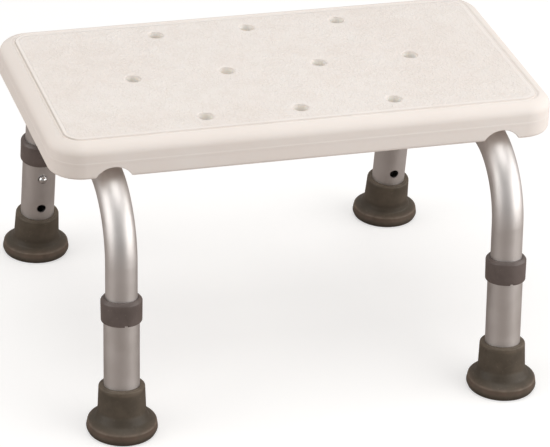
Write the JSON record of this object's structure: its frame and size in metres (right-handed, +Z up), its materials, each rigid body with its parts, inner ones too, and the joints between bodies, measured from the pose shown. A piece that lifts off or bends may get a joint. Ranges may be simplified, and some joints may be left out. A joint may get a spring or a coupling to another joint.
{
  "type": "bath stool",
  "caption": "Low backless bath stool: moulded seat with drain holes on two bent aluminium tubes, with splayed height-adjustable legs on rubber tips.",
  "frame": {"origin": "on the floor plane, under the centre of the seat, midway between the four feet", "axes": "+X along the seat's long side to the right, +Y to the rear, +Z up; the stool stands on its feet at Z = 0"},
  "size_m": [0.4144, 0.361, 0.2315],
  "materials": {
    "seat_plastic": "fine pebble grain, warm white",
    "frame_aluminium": "satin anodised",
    "leg_aluminium": "satin anodised",
    "collar_plastic": "smooth moulded, dark warm grey",
    "tip_rubber": "moulded, dark olive brown",
    "steel": "zinc plated",
    "button_steel": "polished",
    "brass": "turned"
  },
  "bodies": {
    "root": {"seat_board": "seat_plastic", "frame_tube_left": "frame_aluminium", "frame_tube_right": "frame_aluminium", "button_spring_front_left": "steel", "button_spring_front_right": "steel", "button_spring_rear_left": "steel", "button_spring_rear_right": "steel", "frame_bolt_front_left": "steel", "frame_bolt_front_right": "steel", "frame_bolt_rear_left": "steel", "frame_bolt_rear_right": "steel", "saddle_washer_front_left": "collar_plastic", "saddle_washer_front_right": "collar_plastic", "saddle_washer_rear_left": "collar_plastic", "saddle_washer_rear_right": "collar_plastic", "seat_insert_front_left": "brass", "seat_insert_front_right": "brass", "seat_insert_rear_left": "brass", "seat_insert_rear_right": "brass"},
    "leg_front_left": {"leg_tube_front_left": "leg_aluminium", "collar_front_left": "collar_plastic", "rubber_tip_front_left": "tip_rubber", "tip_washer_front_left": "steel"},
    "button_front_left": {"snap_button_front_left": "button_steel"},
    "leg_front_right": {"leg_tube_front_right": "leg_aluminium", "collar_front_right": "collar_plastic", "rubber_tip_front_right": "tip_rubber", "tip_washer_front_right": "steel"},
    "button_front_right": {"snap_button_front_right": "button_steel"},
    "leg_rear_left": {"leg_tube_rear_left": "leg_aluminium", "collar_rear_left": "collar_plastic", "rubber_tip_rear_left": "tip_rubber", "tip_washer_rear_left": "steel"},
    "button_rear_left": {"snap_button_rear_left": "button_steel"},
    "leg_rear_right": {"leg_tube_rear_right": "leg_aluminium", "collar_rear_right": "collar_plastic", "rubber_tip_rear_right": "tip_rubber", "tip_washer_rear_right": "steel"},
    "button_rear_right": {"snap_button_rear_right": "button_steel"}
  },
  "joints": [
    {"name": "height_front_left", "type": "slide", "parent": "root", "child": "leg_front_left", "axis": [0, 0.1045, 0.9945], "range_m": [0, 0.03], "deforming": ["snap_button_front_left", "button_spring_front_left"]},
    {"name": "height_front_right", "type": "slide", "parent": "root", "child": "leg_front_right", "axis": [0, 0.1045, 0.9945], "range_m": [0, 0.03], "deforming": ["snap_button_front_right", "button_spring_front_right"]},
    {"name": "height_rear_left", "type": "slide", "parent": "root", "child": "leg_rear_left", "axis": [0, -0.1045, 0.9945], "range_m": [0, 0.03], "deforming": ["snap_button_rear_left", "button_spring_rear_left"]},
    {"name": "height_rear_right", "type": "slide", "parent": "root", "child": "leg_rear_right", "axis": [0, -0.1045, 0.9945], "range_m": [0, 0.03], "deforming": ["snap_button_rear_right", "button_spring_rear_right"]},
    {"name": "press_front_left", "type": "slide", "parent": "root", "child": "button_front_left", "axis": [0, -0.9945, 0.1045], "range_m": [0, 0.0056], "stiffness_N_per_m": 2000, "springref_m": -0.002, "deforming": ["button_spring_front_left"]},
    {"name": "press_front_right", "type": "slide", "parent": "root", "child": "button_front_right", "axis": [0, -0.9945, 0.1045], "range_m": [0, 0.0056], "stiffness_N_per_m": 2000, "springref_m": -0.002, "deforming": ["button_spring_front_right"]},
    {"name": "press_rear_left", "type": "slide", "parent": "root", "child": "button_rear_left", "axis": [0, 0.9945, 0.1045], "range_m": [0, 0.0056], "stiffness_N_per_m": 2000, "springref_m": -0.002, "deforming": ["button_spring_rear_left"]},
    {"name": "press_rear_right", "type": "slide", "parent": "root", "child": "button_rear_right", "axis": [0, 0.9945, 0.1045], "range_m": [0, 0.0056], "stiffness_N_per_m": 2000, "springref_m": -0.002, "deforming": ["button_spring_rear_right"]}
  ]
}
